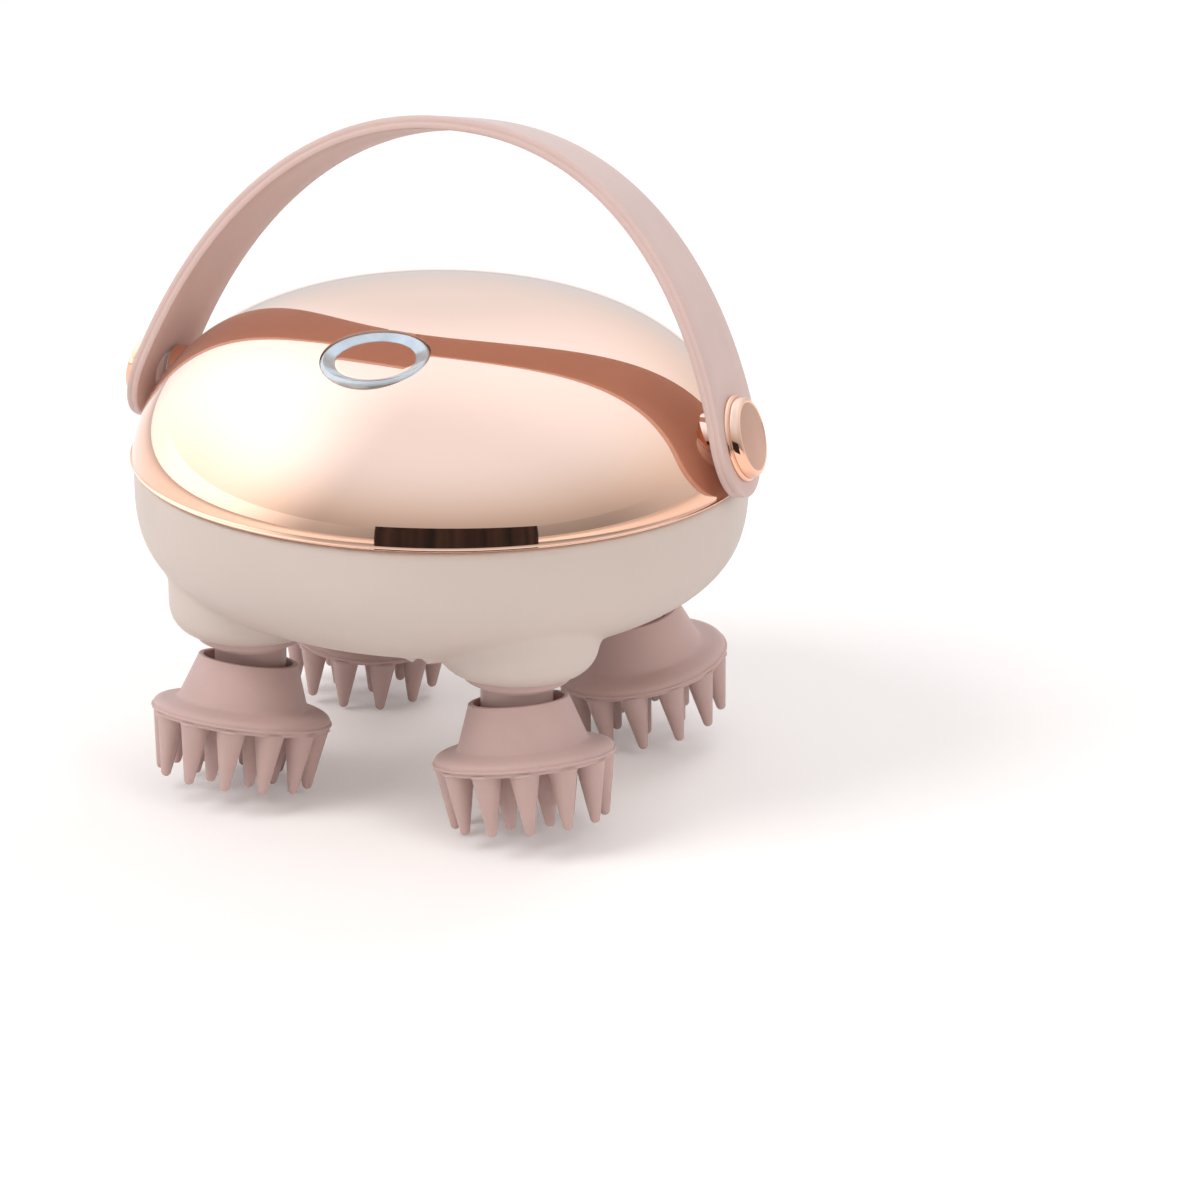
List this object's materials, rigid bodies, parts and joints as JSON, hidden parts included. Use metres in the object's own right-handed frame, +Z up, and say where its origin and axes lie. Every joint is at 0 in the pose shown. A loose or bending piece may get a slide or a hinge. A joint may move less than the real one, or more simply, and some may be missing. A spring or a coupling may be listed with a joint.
{
  "type": "electric scalp massager",
  "caption": "Domed hand-held scalp massager on kneading claw heads, with a swinging carrying strap, a ringed power button and a geared motor drive.",
  "frame": {"origin": "under the middle of the rim, on the surface that the teeth stand on", "axes": "+Z up through the dome, +X through one strap pivot, -Y towards the power button, +Y towards the charging port"},
  "size_m": [0.122, 0.11, 0.1177],
  "materials": {
    "rose_gold_plate": "mirror rose gold plating on moulded ABS",
    "cream_shell": "satin cream moulded ABS",
    "pink_silicone": "matte dusty pink silicone",
    "pink_strap": "matte dusty pink moulded elastomer",
    "pink_plastic": "satin dusty pink acetal",
    "pink_spindle": "satin dusty pink glass-filled acetal",
    "rose_gold_metal": "rose gold anodised, polished edge and satin face",
    "clear_ring": "frosted light-guide acrylic with a bright bevel",
    "grey_rubber": "matte grey silicone seal",
    "cream_rubber": "matte cream silicone",
    "bronze": "sintered bronze",
    "white_nylon": "moulded natural acetal",
    "black_nylon": "black glass-filled nylon",
    "bright_steel": "turned and plated steel",
    "motor_can": "drawn steel can",
    "black_plastic": "moulded black plastic",
    "brass_pinion": "cut brass",
    "cell_wrap": "shrink sleeve",
    "green_board": "solder-masked circuit board"
  },
  "bodies": {
    "housing": {"base_shell": "cream_shell", "top_shell": "rose_gold_plate", "seam_gasket": "grey_rubber", "seal_retainers": "pink_plastic", "spindle_seals": "grey_rubber", "spindle_bushes": "bronze", "gear_plate": "black_nylon", "gearbox_cover": "black_nylon", "sun_axle": "bright_steel", "gear_axles": "bright_steel", "gearbox_screws": "bright_steel", "case_screws": "bright_steel", "motor": "motor_can", "motor_cap": "black_plastic", "motor_screws": "bright_steel", "battery_cell": "cell_wrap", "light_ring": "clear_ring", "switch_body": "black_plastic", "control_board": "green_board", "board_screws": "bright_steel", "charging_socket": "bright_steel", "charge_board": "green_board", "pivot_bushes": "white_nylon"},
    "sun_drive": {"sun_gear": "white_nylon", "sun_wheel": "white_nylon"},
    "first_reduction": {"first_gear": "white_nylon"},
    "second_reduction": {"second_gear": "white_nylon"},
    "motor_rotor": {"motor_shaft": "bright_steel", "motor_pinion": "brass_pinion"},
    "button": {"power_button": "rose_gold_plate", "switch_plunger": "black_plastic"},
    "dust_cover": {"dust_plug": "cream_rubber"},
    "handle": {"strap": "pink_strap", "strap_caps": "rose_gold_metal", "pivot_pins": "bright_steel", "pivot_clips": "bright_steel", "pivot_washers": "white_nylon"},
    "head_front_left": {"spindle_front_left": "pink_spindle", "spindle_gear_front_left": "white_nylon", "head_hub_front_left": "black_nylon", "claw_head_front_left": "pink_silicone"},
    "head_front_right": {"spindle_front_right": "pink_spindle", "spindle_gear_front_right": "white_nylon", "head_hub_front_right": "black_nylon", "claw_head_front_right": "pink_silicone"},
    "head_back_right": {"spindle_back_right": "pink_spindle", "spindle_gear_back_right": "white_nylon", "head_hub_back_right": "black_nylon", "claw_head_back_right": "pink_silicone"},
    "head_back_left": {"spindle_back_left": "pink_spindle", "spindle_gear_back_left": "white_nylon", "head_hub_back_left": "black_nylon", "claw_head_back_left": "pink_silicone"}
  },
  "joints": [
    {"name": "sun_spin", "type": "hinge", "parent": "housing", "child": "sun_drive", "pos_m": [0, 0, 0.03651], "axis": [0, 0, 1], "continuous": true},
    {"name": "first_reduction_spin", "type": "hinge", "parent": "housing", "child": "first_reduction", "pos_m": [0.01923, 0.01923, 0.0465], "axis": [0, 0, 1], "continuous": true},
    {"name": "second_reduction_spin", "type": "hinge", "parent": "housing", "child": "second_reduction", "pos_m": [0.0149, 0.00176, 0.0485], "axis": [0, 0, 1], "continuous": true},
    {"name": "motor_spin", "type": "hinge", "parent": "housing", "child": "motor_rotor", "pos_m": [0, 0, 0.05151], "axis": [0, 0, 1], "continuous": true},
    {"name": "handle_swing", "type": "hinge", "parent": "housing", "child": "handle", "pos_m": [0, 0, 0.06731], "axis": [1, 0, 0], "range_deg": [-27, 54]},
    {"name": "button_press", "type": "slide", "parent": "housing", "child": "button", "axis": [0, 0.2079, -0.9781], "range_m": [0, 0.0005], "stiffness_N_per_m": 400, "springref_m": -0.0006},
    {"name": "dust_cover_pull", "type": "slide", "parent": "housing", "child": "dust_cover", "axis": [0, 1, 0], "range_m": [0, 0.012]},
    {"name": "head_front_left_spin", "type": "hinge", "parent": "housing", "child": "head_front_left", "pos_m": [-0.02546, -0.02546, 0.02686], "axis": [0, 0, 1], "continuous": true},
    {"name": "head_front_right_spin", "type": "hinge", "parent": "housing", "child": "head_front_right", "pos_m": [0.02546, -0.02546, 0.02686], "axis": [0, 0, 1], "continuous": true},
    {"name": "head_back_right_spin", "type": "hinge", "parent": "housing", "child": "head_back_right", "pos_m": [0.02546, 0.02546, 0.02686], "axis": [0, 0, 1], "continuous": true},
    {"name": "head_back_left_spin", "type": "hinge", "parent": "housing", "child": "head_back_left", "pos_m": [-0.02546, 0.02546, 0.02686], "axis": [0, 0, 1], "continuous": true}
  ],
  "couplings": [
    {"joint": "first_reduction_spin", "follows": "sun_spin", "ratio": -4.6667},
    {"joint": "second_reduction_spin", "follows": "sun_spin", "ratio": 18.667},
    {"joint": "motor_spin", "follows": "sun_spin", "ratio": -93.333},
    {"joint": "head_front_left_spin", "follows": "sun_spin", "ratio": -2.2727},
    {"joint": "head_front_right_spin", "follows": "sun_spin", "ratio": -2.2727},
    {"joint": "head_back_right_spin", "follows": "sun_spin", "ratio": -2.2727},
    {"joint": "head_back_left_spin", "follows": "sun_spin", "ratio": -2.2727}
  ]
}
